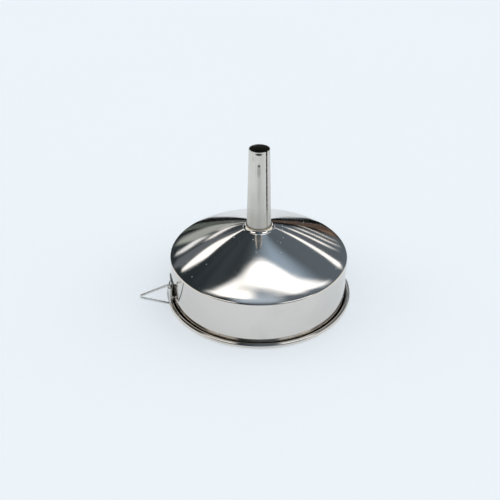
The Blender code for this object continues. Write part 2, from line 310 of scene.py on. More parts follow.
def makeMarkAndShadeSpot():
    # one soft-edged dark spot round a point, its outline pushed about by noise; used for dark marks and for painted
    # shade
    group, start, end = newGroup(
        "markAndShadeSpot",
        [
            ("Vector", "NodeSocketVector", None),
            ("Centre", "NodeSocketVector", None),
            ("Size", "NodeSocketVector", (0.001, 0.001, 0.001)),
            ("Wander", "NodeSocketFloat", 0.3),
        ],
        [("Mask", "NodeSocketFloat")],
    )
    away = addNode(group, "ShaderNodeVectorMath", operation="SUBTRACT")
    plug(group, start.outputs["Vector"], away.inputs[0])
    plug(group, start.outputs["Centre"], away.inputs[1])
    scaled = addNode(group, "ShaderNodeVectorMath", operation="DIVIDE")
    plug(group, away.outputs[0], scaled.inputs[0])
    plug(group, start.outputs["Size"], scaled.inputs[1])
    length = addNode(group, "ShaderNodeVectorMath", operation="LENGTH")
    plug(group, scaled.outputs[0], length.inputs[0])
    push = addNode(group, "ShaderNodeTexNoise")
    push.inputs["Scale"].default_value = 900.0
    plug(group, start.outputs["Vector"], push.inputs["Vector"])
    shift = mathNode(group, "MULTIPLY", mathNode(group, "SUBTRACT", push.outputs["Fac"], 0.5), start.outputs["Wander"])
    soft = addNode(group, "ShaderNodeMapRange", interpolation_type="SMOOTHSTEP")
    soft.inputs["From Min"].default_value = 1.15
    soft.inputs["From Max"].default_value = 0.55
    plug(group, mathNode(group, "ADD", length.outputs["Value"], shift), soft.inputs["Value"])
    plug(group, soft.outputs[0], end.inputs["Mask"])
    return group


def makeBoreShadeMask():
    # one inside a tapered tube standing on the axis, nothing outside it; the mask for the bore's painted shade
    group, start, end = newGroup(
        "boreShadeMask",
        [("Vector", "NodeSocketVector", None), ("Taper", "NodeSocketFloat", 0.03), ("Reach", "NodeSocketFloat", 0.012)],
        [("Mask", "NodeSocketFloat")],
    )
    split = addNode(group, "ShaderNodeSeparateXYZ")
    plug(group, start.outputs["Vector"], split.inputs[0])
    squareX = mathNode(group, "MULTIPLY", split.outputs[0], split.outputs[0])
    squareY = mathNode(group, "MULTIPLY", split.outputs[1], split.outputs[1])
    radius = mathNode(group, "SQRT", mathNode(group, "ADD", squareX, squareY))
    measure = mathNode(group, "ADD", radius, mathNode(group, "MULTIPLY", split.outputs[2], start.outputs["Taper"]))
    edge = addNode(group, "ShaderNodeMapRange", interpolation_type="SMOOTHSTEP")
    edge.inputs["From Min"].default_value = 0.0002
    edge.inputs["From Max"].default_value = -0.0002
    plug(group, mathNode(group, "SUBTRACT", measure, start.outputs["Reach"]), edge.inputs["Value"])
    plug(group, edge.outputs[0], end.inputs["Mask"])
    return group


def makeSeamDarkEdges():
    # dark edges on both sides of the seam, darker higher up and broken up lower down
    group, start, end = newGroup(
        "seamDarkEdges",
        [("Vector", "NodeSocketVector", None), ("Turn", "NodeSocketVector", None)],
        [("Mask", "NodeSocketFloat")],
    )
    turn = addNode(group, "ShaderNodeMapping")
    plug(group, start.outputs["Vector"], turn.inputs["Vector"])
    plug(group, start.outputs["Turn"], turn.inputs["Rotation"])
    split = addNode(group, "ShaderNodeSeparateXYZ")
    plug(group, turn.outputs[0], split.inputs[0])
    blots = addNode(group, "ShaderNodeTexNoise")
    blots.inputs["Scale"].default_value = 520.0
    blots.inputs["Detail"].default_value = 3.0
    plug(group, start.outputs["Vector"], blots.inputs["Vector"])
    wander = mathNode(group, "MULTIPLY", mathNode(group, "SUBTRACT", blots.outputs["Fac"], 0.5), 0.0012)
    side = addNode(group, "ShaderNodeMapRange", interpolation_type="SMOOTHSTEP")
    side.inputs["From Min"].default_value = 0.00085
    side.inputs["From Max"].default_value = 0.00062
    plug(group, mathNode(group, "ADD", mathNode(group, "ABSOLUTE", split.outputs[1]), wander), side.inputs["Value"])
    ahead = mathNode(group, "GREATER_THAN", split.outputs[0], 0.0)
    rise = addNode(group, "ShaderNodeMapRange")
    rise.inputs["From Min"].default_value = 0.082
    rise.inputs["From Max"].default_value = 0.096
    rise.inputs["To Min"].default_value = 0.30
    rise.inputs["To Max"].default_value = 1.0
    plug(group, split.outputs[2], rise.inputs["Value"])
    line = mathNode(group, "MULTIPLY", mathNode(group, "MULTIPLY", side.outputs[0], ahead), rise.outputs[0])
    plug(group, line, end.inputs["Mask"])
    return group


turningMarks = makeTurningMarks()
seamDarkEdges = makeSeamDarkEdges()
boreShadeMask = makeBoreShadeMask()
markAndShadeSpot = makeMarkAndShadeSpot()
hairScratches = makeHairScratches()
smudges = makeSmudges()
rubbedGrain = makeRubbedGrain()
print("shader groups built")


def startMaterial(name):
    material = bpy.data.materials.new(name)
    material.use_nodes = True
    tree = material.node_tree
    shader = tree.nodes["Principled BSDF"]
    where = addNode(tree, "ShaderNodeTexCoord")
    return material, tree, shader, where.outputs["Object"]


def placeGroup(tree, group, vector, **values):
    node = tree.nodes.new("ShaderNodeGroup")
    node.node_tree = group
    plug(tree, vector, node.inputs["Vector"])
    for label, value in values.items():
        node.inputs[label].default_value = value
    return node


def mixColor(tree, factor, first, second):
    node = addNode(tree, "ShaderNodeMix", data_type="RGBA")
    sockets = {"Factor": node.inputs[0], "A": node.inputs[6], "B": node.inputs[7]}
    for label, value in (("Factor", factor), ("A", first), ("B", second)):
        if isinstance(value, (int, float)):
            sockets[label].default_value = value
        elif isinstance(value, tuple):
            sockets[label].default_value = (*value, 1.0)
        else:
            plug(tree, value, sockets[label])
    return node.outputs[2]


def addBump(tree, shader, height, strength, distance):
    bump = addNode(tree, "ShaderNodeBump")
    bump.inputs["Strength"].default_value = strength
    bump.inputs["Distance"].default_value = distance
    plug(tree, height, bump.inputs["Height"])
    plug(tree, bump.outputs[0], shader.inputs["Normal"])


polishedSteelLook = {
    "steel": (0.71, 0.675, 0.635),
    "steelWorn": (0.64, 0.61, 0.575),
    "roughness": 0.03,
    "roughnessSpan": 0.08,
    "ringBump": 0.05,
    "dust": (0.85, 0.86, 0.86),
}


def makePolishedSteel():
    look = polishedSteelLook
    material, tree, shader, vector = startMaterial("polishedSteel")
    rings = placeGroup(tree, turningMarks, vector, Patchiness=0.8)
    dirt = placeGroup(tree, smudges, vector, Haze=0.55, Specks=0.9)
    hair = placeGroup(tree, hairScratches, vector, Scale=42.0, Amount=0.5)
    worn = mathNode(tree, "ADD", dirt.outputs["Haze"], dirt.outputs["Specks"], clamp=True)
    metal = mixColor(tree, worn, look["steel"], look["steelWorn"])
    plug(tree, mixColor(tree, dirt.outputs["Specks"], metal, look["dust"]), shader.inputs["Base Color"])
    plug(tree, mathNode(tree, "SUBTRACT", 1.0, dirt.outputs["Specks"]), shader.inputs["Metallic"])
    ringPart = mathNode(tree, "MULTIPLY", rings.outputs["Rings"], look["roughnessSpan"] * 0.5)
    hazePart = mathNode(tree, "MULTIPLY", worn, look["roughnessSpan"])
    hairPart = mathNode(tree, "MULTIPLY", hair.outputs["Scratches"], 0.12)
    rough = mathNode(tree, "ADD", mathNode(tree, "ADD", ringPart, hazePart), mathNode(tree, "ADD", hairPart, look["roughness"]))
    plug(tree, rough, shader.inputs["Roughness"])
    height = mathNode(tree, "ADD", rings.outputs["Rings"], mathNode(tree, "MULTIPLY", rings.outputs["Broad"], 2.0))
    height = mathNode(tree, "SUBTRACT", height, mathNode(tree, "MULTIPLY", hair.outputs["Scratches"], 0.5))
    addBump(tree, shader, height, look["ringBump"], 0.00005)
    return material


satinSteelLook = {
    "steel": (0.74, 0.71, 0.655),
    "steelDull": (0.65, 0.62, 0.565),
    "roughness": 0.26,
    "roughnessSpan": 0.16,
    "grainBump": 0.25,
    # colour for dark marks, the seam's dark edges, and painted shade in the bore and round the spout's foot
    "darkMarkAndShade": (0.05, 0.05, 0.045),
    "bandShade": (0.42, 0.41, 0.375),
    "seamTurn": (0.0, 0.0, math.radians(49.0)),
    # the bore is darkened with painted shade; reach is the tapered radius that divides it from the outside
    "taper": 0.02593,
    "boreReach": 0.0121,
    "boreShadeDepth": 0.6,
    # centre, half size, depth and wander of each dark mark on the tube; the last three are painted shade round the
    # spout's foot where it meets the cone
    "marksAndShade": [
        ((-0.0006, -0.0089, 0.1424), (0.0033, 0.004, 0.00115), 1.0, 0.3),
        ((-0.0004, -0.0092, 0.1322), (0.0013, 0.003, 0.0014), 0.8, 0.5),
        ((-0.0005, -0.0092, 0.1275), (0.0017, 0.004, 0.0065), 0.32, 0.6),
        ((-0.0003, -0.0094, 0.116), (0.0019, 0.004, 0.020), 0.13, 0.5),
        ((0.0, 0.0, 0.0905), (0.013, 0.013, 0.0004), 0.15, 0.5),
        ((-0.005, -0.0070, 0.138), (0.002, 0.003, 0.003), 0.10, 0.9),
        # painted shade: a ring and broad patches darkening the spout's foot where it meets the cone
        ((0.0, 0.0, 0.0725), (0.013, 0.013, 0.0022), 0.22, 0.6),
        ((-0.002, 0.0, 0.076), (0.022, 0.022, 0.016), 0.13, 0.2),
        ((-0.002, -0.004, 0.084), (0.012, 0.012, 0.034), 0.06, 0.2),
    ],
}


def makeSatinSteel():
    look = satinSteelLook
    material, tree, shader, vector = startMaterial("satinSteel")
    grain = placeGroup(tree, rubbedGrain, vector, Across=900.0, Along=14.0)
    dirt = placeGroup(tree, smudges, vector, Haze=0.6, Specks=0.5)
    dull = mathNode(tree, "MULTIPLY", mathNode(tree, "ADD", grain.outputs["Clouds"], dirt.outputs["Haze"]), 0.6, clamp=True)
    color = mixColor(tree, dull, look["steel"], look["steelDull"])
    bands = placeGroup(tree, rubbedGrain, vector, Across=330.0, Along=5.0)
    shade = addNode(tree, "ShaderNodeMapRange", interpolation_type="SMOOTHSTEP")
    shade.inputs["From Min"].default_value = 0.36
    shade.inputs["From Max"].default_value = 0.64
    plug(tree, bands.outputs["Grain"], shade.inputs["Value"])
    color = mixColor(tree, mathNode(tree, "MULTIPLY", shade.outputs[0], 0.28), color, look["bandShade"])
    seamEdges = placeGroup(tree, seamDarkEdges, vector, Turn=look["seamTurn"])
    color = mixColor(tree, seamEdges.outputs["Mask"], color, look["darkMarkAndShade"])
    # dark marks on the tube; the last three of them are painted shade round the spout's foot
    for centre, size, depth, wander in look["marksAndShade"]:
        spot = placeGroup(tree, markAndShadeSpot, vector, Centre=centre, Size=size, Wander=wander)
        color = mixColor(tree, mathNode(tree, "MULTIPLY", spot.outputs["Mask"], depth), color, look["darkMarkAndShade"])
    # painted shade darkening the inside of the bore
    inside = placeGroup(tree, boreShadeMask, vector, Taper=look["taper"], Reach=look["boreReach"])
    color = mixColor(tree, mathNode(tree, "MULTIPLY", inside.outputs["Mask"], look["boreShadeDepth"]), color, look["darkMarkAndShade"])
    plug(tree, color, shader.inputs["Base Color"])
    rough = mathNode(tree, "MULTIPLY", mathNode(tree, "ADD", grain.outputs["Grain"], dull), look["roughnessSpan"] * 0.6)
    plug(tree, mathNode(tree, "ADD", rough, look["roughness"]), shader.inputs["Roughness"])
    addBump(tree, shader, grain.outputs["Grain"], look["grainBump"], 0.00004)
    shader.inputs["Metallic"].default_value = 1.0
    return material


weldLook = {"bare": (0.44, 0.41, 0.36), "straw": (0.38, 0.31, 0.22), "brown": (0.22, 0.17, 0.12), "roughness": 0.2}


def makeWeldMetal(name, browning):
    look = weldLook
    material, tree, shader, vector = startMaterial(name)
    tint = addNode(tree, "ShaderNodeTexNoise")
    tint.inputs["Scale"].default_value = 260.0
    tint.inputs["Detail"].default_value = 4.0
    plug(tree, vector, tint.inputs["Vector"])
    wide = addNode(tree, "ShaderNodeTexNoise")
    wide.inputs["Scale"].default_value = 70.0
    plug(tree, vector, wide.inputs["Vector"])
    first = mixColor(tree, wide.outputs["Fac"], look["bare"], look["straw"])
    darker = mathNode(tree, "MULTIPLY", tint.outputs["Fac"], browning, clamp=True)
    plug(tree, mixColor(tree, darker, first, look["brown"]), shader.inputs["Base Color"])
    rough = mathNode(tree, "ADD", mathNode(tree, "MULTIPLY", tint.outputs["Fac"], 0.3), look["roughness"])
    plug(tree, rough, shader.inputs["Roughness"])
    addBump(tree, shader, tint.outputs["Fac"], 0.5, 0.00015)
    shader.inputs["Metallic"].default_value = 1.0
    return material


seamLook = {"oxide": (0.012, 0.011, 0.010), "metal": (0.5, 0.47, 0.42), "from": 0.080, "to": 0.096, "roughness": 0.35}


def makeSeamMetal():
    # black oxide in the upper seam, broken up below and nearly clean at the foot
    look = seamLook
    material, tree, shader, vector = startMaterial("seamWeldMetal")
    split = addNode(tree, "ShaderNodeSeparateXYZ")
    plug(tree, vector, split.inputs[0])
    blots = addNode(tree, "ShaderNodeTexNoise")
    blots.inputs["Scale"].default_value = 420.0
    blots.inputs["Detail"].default_value = 3.0
    plug(tree, vector, blots.inputs["Vector"])
    rise = addNode(tree, "ShaderNodeMapRange")
    rise.inputs["From Min"].default_value = look["from"]
    rise.inputs["From Max"].default_value = look["to"]
    rise.inputs["To Min"].default_value = 0.32
    rise.inputs["To Max"].default_value = 0.72
    plug(tree, split.outputs[2], rise.inputs["Value"])
    edge = addNode(tree, "ShaderNodeMapRange", interpolation_type="SMOOTHSTEP")
    edge.inputs["From Min"].default_value = 0.12
    edge.inputs["From Max"].default_value = -0.06
    plug(tree, mathNode(tree, "SUBTRACT", blots.outputs["Fac"], rise.outputs[0]), edge.inputs["Value"])
    plug(tree, mixColor(tree, edge.outputs[0], look["metal"], look["oxide"]), shader.inputs["Base Color"])
    plug(tree, mathNode(tree, "ADD", mathNode(tree, "MULTIPLY", edge.outputs[0], 0.3), look["roughness"]), shader.inputs["Roughness"])
    plug(tree, mathNode(tree, "SUBTRACT", 1.0, edge.outputs[0]), shader.inputs["Metallic"])
    addBump(tree, shader, blots.outputs["Fac"], 0.6, 0.00015)
    return material


wireLook = {"steel": (0.68, 0.675, 0.66), "steelDull": (0.5, 0.49, 0.47), "roughness": 0.1, "roughnessSpan": 0.2}


def makeWireSteel(name, extraRoughness):
    look = wireLook
    material, tree, shader, vector = startMaterial(name)
    hair = placeGroup(tree, hairScratches, vector, Scale=180.0, Amount=0.7)
    dirt = placeGroup(tree, smudges, vector, Haze=0.7, Specks=0.4)
    draw = addNode(tree, "ShaderNodeTexNoise")
    draw.inputs["Scale"].default_value = 420.0
    draw.inputs["Detail"].default_value = 3.0
    plug(tree, vector, draw.inputs["Vector"])
    worn = mathNode(tree, "ADD", hair.outputs["Scratches"], dirt.outputs["Haze"], clamp=True)
    plug(tree, mixColor(tree, worn, look["steel"], look["steelDull"]), shader.inputs["Base Color"])
    rough = mathNode(tree, "MULTIPLY", mathNode(tree, "ADD", draw.outputs["Fac"], worn), look["roughnessSpan"] * 0.5)
    plug(tree, mathNode(tree, "ADD", rough, look["roughness"] + extraRoughness), shader.inputs["Roughness"])
    addBump(tree, shader, draw.outputs["Fac"], 0.12, 0.00006)
    shader.inputs["Metallic"].default_value = 1.0
    return material


polishedSteel = makePolishedSteel()
satinSteel = makeSatinSteel()
neckWeldMetal = makeWeldMetal("neckWeldMetal", 0.35)
seamWeldMetal = makeSeamMetal()
loopWireSteel = makeWireSteel("loopWireSteel", 0.0)
rimWireSteel = makeWireSteel("rimWireSteel", 0.2)
strapSteel = makeWireSteel("strapSteel", 0.05)
print("materials built")

bowlSizes = {
    "sheet": 0.6 * mm,
    "wallRadius": 80.0 * mm,
    "wallHeight": 42.7 * mm,
    "coneAngle": math.radians(21.7),
    "shoulderBend": 1.6 * mm,
    "neckRise": 2.0 * mm,
    "neckFlare": 0.95 * mm,
    "neckBend": 5.2 * mm,
    "beadRadius": 2.13 * mm,
    "beadOffset": 3.14 * mm,
    "footBend": 1.5 * mm,
    "curlEnd": math.radians(202.0),
    "steps": 288,
}
spoutSizes = {
    "sheet": 0.8 * mm,
    "tipRadius": 8.89 * mm,
    "baseRadius": 10.78 * mm,
    "rise": 72.9 * mm,
    "inset": 2.0 * mm,
    "fit": 0.3 * mm,
    "seamGap": 0.7 * mm,
    "seamAngle": math.radians(-49.0),
    "steps": 160,
}
tipTop = spoutHigh.z
neckTop = tipTop - spoutSizes["rise"]


def spoutOuter(height):
    share = (height - neckTop) / (tipTop - neckTop)
    return spoutSizes["baseRadius"] + (spoutSizes["tipRadius"] - spoutSizes["baseRadius"]) * share


def collarRadius():
    # middle of the sheet at the neck's edge
    return spoutOuter(neckTop - spoutSizes["inset"]) + spoutSizes["fit"] + bowlSizes["sheet"] / 2


def buildBowl():
    s = bowlSizes
    half = s["sheet"] / 2
    wall = s["wallRadius"] - half
    collar = collarRadius()
    neckPoint = (collar + s["neckFlare"], neckTop - s["neckRise"])
    shoulder = (wall, s["wallHeight"] - half)
    foot = (wall, half)
    bead = (s["wallRadius"] + s["beadOffset"], s["beadRadius"])
    path = [(collar, neckTop)]
    path += roundCorner(path[0], neckPoint, shoulder, s["neckBend"], 16)
    low = path[-1]
    high = roundCorner(neckPoint, shoulder, foot, s["shoulderBend"], 10)
    for i in range(1, 12):
        share = i / 12
        path.append((low[0] + (high[0][0] - low[0]) * share, low[1] + (high[0][1] - low[1]) * share))
    path += high
    path += roundCorner(shoulder, foot, (bead[0], half), s["footBend"], 8)
    path += arcPoints(bead, s["beadRadius"] - half, -math.pi / 2, s["curlEnd"], 36)
    piece = turnedPiece("bowlShell", stripOutline(path, s["sheet"]), s["steps"], polishedSteel)
    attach(piece, "funnel")
    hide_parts("bowl")
    return piece


def buildSpout():
    s = spoutSizes
    base = neckTop - s["inset"]
    lip = 0.16 * mm
    outer = spoutOuter(base)
    outline = [(outer - s["sheet"], base), (outer, base)]
    for i in range(1, 10):
        z = base + (tipTop - 3 * lip - base) * i / 9
        outline.append((spoutOuter(z), z))
    outline += roundCorner(outline[-1], (s["tipRadius"], tipTop), (s["tipRadius"] - s["sheet"], tipTop), 2 * lip, 5)
    inner = (s["tipRadius"] - s["sheet"], tipTop)
    outline += roundCorner((s["tipRadius"], tipTop), inner, (outer - s["sheet"], base), lip * 1.5, 4)
    piece = turnedPiece("spoutTube", outline, s["steps"], satinSteel)
    blade = bpy.data.meshes.new("seamBlade")
    builder = bmesh.new()
    bmesh.ops.create_cube(builder, size=1.0)
    long = 2 * s["baseRadius"]
    bmesh.ops.scale(builder, vec=(long, s["seamGap"], 1.2 * (tipTop - base)), verts=builder.verts)
    bmesh.ops.translate(builder, vec=(long / 2 + s["tipRadius"] / 3, 0, (tipTop + base) / 2), verts=builder.verts)
    builder.to_mesh(blade)
    builder.free()
    cutter = bpy.data.objects.new("seamBlade", blade)
    scene.collection.objects.link(cutter)
    cutter.location = piece.location
    cutter.rotation_euler = (0, 0, s["seamAngle"])
    cut = piece.modifiers.new("seam", "BOOLEAN")
    cut.operation = "DIFFERENCE"
    cut.solver = "EXACT"
    cut.object = cutter
    bpy.context.view_layer.update()
    applyModifiers(piece)
    bpy.data.objects.remove(cutter)
    smoothPiece(piece, 40)
    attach(piece, "funnel")
    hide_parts("spout")
    return piece


seamWeldSizes = {"sideGap": 0.1 * mm, "recessTop": 0.5 * mm, "recessLow": 0.05 * mm, "steps": 60}


def buildSeamWeld():
    # weld metal deep in the seam near the tip and nearly flush at the base
    s = seamWeldSizes
    base = neckTop - spoutSizes["inset"] + 0.3 * mm
    top = tipTop - 0.3 * mm
    half = spoutSizes["seamGap"] / 2 - s["sideGap"]
    builder = bmesh.new()
    rings = []
    for i in range(s["steps"] + 1):
        share = i / s["steps"]
        z = base + (top - base) * share
        ripple = 0.03 * mm * math.sin(i * 2.3)
        recess = s["recessLow"] + (s["recessTop"] - s["recessLow"]) * min(1.0, max(0.0, share * 1.6 - 0.35))
        outer = spoutOuter(z) - recess + ripple
        inner = spoutOuter(z) - spoutSizes["sheet"] + 0.02 * mm
        corners = ((inner, -half), (outer, -half), (outer + 0.03 * mm, 0), (outer, half), (inner, half))
        rings.append([builder.verts.new((x, y, z)) for x, y in corners])
    for low, high in zip(rings, rings[1:]):
        for i in range(5):
            j = (i + 1) % 5
            builder.faces.new((low[i], low[j], high[j], high[i]))
    builder.faces.new(rings[0][::-1])
    builder.faces.new(rings[-1])
    mesh = bpy.data.meshes.new("seamWeld")
    builder.to_mesh(mesh)
    builder.free()
    piece = bpy.data.objects.new("seamWeld", mesh)
    scene.collection.objects.link(piece)
    piece.location = (axisX, axisY, 0)
    piece.rotation_euler = (0, 0, spoutSizes["seamAngle"])
    mesh.materials.append(seamWeldMetal)
    smoothPiece(piece, 40)
    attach(piece, "funnel")
    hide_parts("spout_seam_weld")
    return piece


neckWeldSizes = {"leg": 1.1 * mm, "gap": 0.15 * mm, "ripples": 46, "rippleHeight": 0.07 * mm, "steps": 276}


def buildNeckWeld():
    s = neckWeldSizes
    lean = math.atan2(bowlSizes["neckFlare"], bowlSizes["neckRise"])
    seat = neckTop + bowlSizes["sheet"] / 2 * math.sin(lean) + s["gap"] * 0.5
    inner = spoutOuter(seat) + s["gap"] * 0.4
    outer = collarRadius() + bowlSizes["sheet"] / 2 * math.cos(lean)
    top = seat + s["leg"]
    outline = [(inner, seat), (outer, seat)]
    outline += roundCorner((outer, seat), (outer, top), (inner, top), s["leg"] * 0.7, 8)
    outline += [(inner, top)]
    piece = turnedPiece("neckWeld", outline, s["steps"], neckWeldMetal)
    for vert in piece.data.vertices:
        angle = math.atan2(vert.co.y, vert.co.x)
        lift = max(0.0, (vert.co.z - seat) / s["leg"])
        wave = 0.5 + 0.5 * math.sin(angle * s["ripples"] + 1.5 * math.sin(angle * 3))
        vert.co.z -= s["rippleHeight"] * wave * lift
        out = vert.co.to_2d().normalized() * s["rippleHeight"] * 0.6 * wave * lift
        if vert.co.to_2d().length > inner + 0.1 * mm:
            vert.co.x -= out.x
            vert.co.y -= out.y
    smoothPiece(piece, 50)
    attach(piece, "funnel")
    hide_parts("neck_weld")
    return piece


loopSizes = {
    "wireRadius": 1.05 * mm,
    "base": 20.9 * mm,
    "reach": 29.0 * mm,
    "bend": 1.6 * mm,
    "jointFromCorner": 4.2 * mm,
    "jointGap": 0.3 * mm,
    "turn": math.radians(200.3 - 12.1),
}


def buildLoop():
    s = loopSizes
    half = s["base"] / 2
    low, high, tip = (0.0, -half), (0.0, half), (s["reach"], 0.0)
    leg = math.hypot(s["reach"], half)
    joint = s["jointFromCorner"] / leg
    gap = s["jointGap"] / leg
    points = [(s["reach"] * joint, -half * (1 - joint))]
    points += roundCorner(tip, low, high, s["bend"], 14)
    points += roundCorner(low, high, tip, s["bend"], 14)
    points += roundCorner(high, tip, low, s["bend"], 20)
    points += [(s["reach"] * (joint + gap), -half * (1 - joint - gap))]
    curve = bpy.data.curves.new("hangingLoop", "CURVE")
    curve.dimensions = "3D"
    curve.bevel_depth = s["wireRadius"]
    curve.bevel_resolution = 6
    curve.use_fill_caps = True
    spline = curve.splines.new("POLY")
    spline.points.add(len(points) - 1)
    for slot, (x, z) in zip(spline.points, points):
        slot.co = (x, 0, z, 1)
    source = bpy.data.objects.new("loopSource", curve)
    scene.collection.objects.link(source)
    graph = bpy.context.evaluated_depsgraph_get()
    mesh = bpy.data.meshes.new_from_object(source.evaluated_get(graph))
    bpy.data.objects.remove(source)
    piece = bpy.data.objects.new("hangingLoop", mesh)
    scene.collection.objects.link(piece)
    piece.location = Vector(hinge["pos_m"])
    piece.rotation_euler = (0, 0, s["turn"])
    mesh.materials.clear()
    mesh.materials.append(loopWireSteel)
    smoothPiece(piece, 50)
    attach(piece, "loop")
    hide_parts("hanging_loop")
    return piece


strapSizes = {
    "sheet": 0.45 * mm,
    "height": strapHigh.z - strapLow.z,
    "standoff": 4.3 * mm,
    "azimuth": math.radians(200.3),
    "arc": math.radians(15.8),
    "wallGap": 0.3 * mm,
    "layerGap": 0.15 * mm,
    "swingGap": 0.2 * mm,
    "innerBendAt": 3.6 * mm,
    "outerBendAt": 5.0 * mm,
    "bend": 0.9 * mm,
    "edgeRound": 0.1 * mm,
    "markRadius": 1.7 * mm,
    "markDepth": 0.22 * mm,
    "markSpread": 7.0 * mm,
}


def buildStrap():
    s = strapSizes
    wall = bowlSizes["wallRadius"]

    def wrap(point):
        angle = s["azimuth"] - point[0] / (wall + s["standoff"])
        radius = wall + point[1]
        return (radius * math.cos(angle), radius * math.sin(angle))

    def touch(point, centre, radius, side):
        dx, dy = centre[0] - point[0], centre[1] - point[1]
        spread = math.asin(radius / math.hypot(dx, dy))
        return math.atan2(dy, dx) + side * (spread + math.pi / 2)

    centre = (0.0, s["standoff"])
    radius = loopSizes["wireRadius"] + s["swingGap"] + s["sheet"] / 2
    innerOff = s["wallGap"] + s["sheet"] / 2
    outerOff = innerOff + s["sheet"] + s["layerGap"]
    length = s["arc"] * (wall + s["standoff"])
    innerBend, outerBend = (s["innerBendAt"], innerOff), (s["outerBendAt"], outerOff)
    curl = arcPoints(centre, radius, touch(innerBend, centre, radius, 1), touch(outerBend, centre, radius, -1), 40)
    path = [(length + (innerBend[0] + 1 * mm - length) * i / 10, innerOff) for i in range(10)]
    path += roundCorner(path[-1], innerBend, curl[0], s["bend"], 8)
    path += curl
    path += roundCorner(curl[-1], outerBend, (length, outerOff), s["bend"], 8)
    path += [(outerBend[0] + 1 * mm + (length - outerBend[0] - 1 * mm) * i / 10, outerOff) for i in range(1, 11)]
    outline = stripOutline([wrap(p) for p in path], s["sheet"])
    curve = bpy.data.curves.new("strapOutline", "CURVE")
    curve.dimensions = "2D"
    curve.fill_mode = "BOTH"
    curve.extrude = s["height"] / 2
    spline = curve.splines.new("POLY")
    spline.points.add(len(outline) - 1)
    for slot, (x, y) in zip(spline.points, outline):
        slot.co = (x, y, 0, 1)
    spline.use_cyclic_u = True
    flat = bpy.data.objects.new("strapOutline", curve)
    mesh = bpy.data.meshes.new_from_object(flat)
    bpy.data.objects.remove(flat)
    builder = bmesh.new()
    builder.from_mesh(mesh)
    bmesh.ops.remove_doubles(builder, verts=builder.verts, dist=0.000001)
    builder.to_mesh(mesh)
    builder.free()
    piece = bpy.data.objects.new("hangerStrap", mesh)
    scene.collection.objects.link(piece)
    piece.location = (axisX, axisY, hinge["pos_m"][2])
    ball = (s["markRadius"] ** 2 + s["markDepth"] ** 2) / (2 * s["markDepth"])
    topOff = s["wallGap"] + 2 * s["sheet"] + s["layerGap"]
    x, y = wrap((length * 0.7, topOff + ball - s["markDepth"]))
    dents = []
    for side in (-1, 1):
        spot = (x + axisX, y + axisY, piece.location.z + side * s["markSpread"] / 2)
        bpy.ops.mesh.primitive_uv_sphere_add(segments=64, ring_count=32, radius=ball, location=spot)
        dents.append(bpy.context.object)
        cut = piece.modifiers.new("mark", "BOOLEAN")
        cut.operation = "DIFFERENCE"
        cut.solver = "EXACT"
        cut.object = dents[-1]
    bevel = piece.modifiers.new("edges", "BEVEL")
    bevel.width = s["edgeRound"]
    bevel.segments = 2
    bevel.angle_limit = math.radians(50)
    bpy.context.view_layer.update()
    applyModifiers(piece)
    for dent in dents:
        bpy.data.objects.remove(dent)
    piece.data.materials.clear()
    piece.data.materials.append(strapSteel)
    smoothPiece(piece, 35)
    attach(piece, "funnel")
    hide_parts("hanger_strap")
    return piece


bowl = buildBowl()
spout = buildSpout()
seamWeld = buildSeamWeld()
neckWeld = buildNeckWeld()
loop = buildLoop()
strap = buildStrap()
rimWire = frame["nodes"]["rim_wire"]
rimWire.data.materials.clear()
rimWire.data.materials.append(rimWireSteel)
for polygon in rimWire.data.polygons:
    polygon.use_smooth = True
print("pieces built")

studio = {
    "floorColor": (0.80, 0.845, 0.885),
    "floorSize": 12.0,
    "floorGlow": 0.37,
    "skyLeft": (0.024, 0.034, 0.040),
    "skyRight": (0.13, 0.165, 0.20),
    "roomShapes": (0.095, 0.115, 0.135),
    "backdrop": (0.82, 0.89, 0.94),  # what the camera sees past the paper
    "frontWall": (0.58, 0.60, 0.61),
    "sideWall": (1.0, 0.98, 0.92),
    "sunStrength": 1.58,
    "sunSpread": math.radians(150),
    "stripHeight": 0.45,
    "backCard": 0.6,
    "paperEdge": 0.42,
}


def buildFloor():
    bpy.ops.mesh.primitive_plane_add(size=studio["floorSize"], location=(0, 0, 0))
    floor = bpy.context.object
    floor.name = "paleFloor"
    material, tree, shader, vector = startMaterial("palePaper")
    cloud = addNode(tree, "ShaderNodeTexNoise")
    cloud.inputs["Scale"].default_value = 2.0
    plug(tree, vector, cloud.inputs["Vector"])
    base = studio["floorColor"]
    deep = tuple(c * 0.985 for c in base)
    paper = mixColor(tree, cloud.outputs["Fac"], base, deep)
    plug(tree, paper, shader.inputs["Base Color"])
    plug(tree, paper, shader.inputs["Emission Color"])
    shader.inputs["Emission Strength"].default_value = studio["floorGlow"]
    shader.inputs["Roughness"].default_value = 0.9
    shader.inputs["Specular IOR Level"].default_value = 0.0
    floor.data.materials.append(material)
    return floor


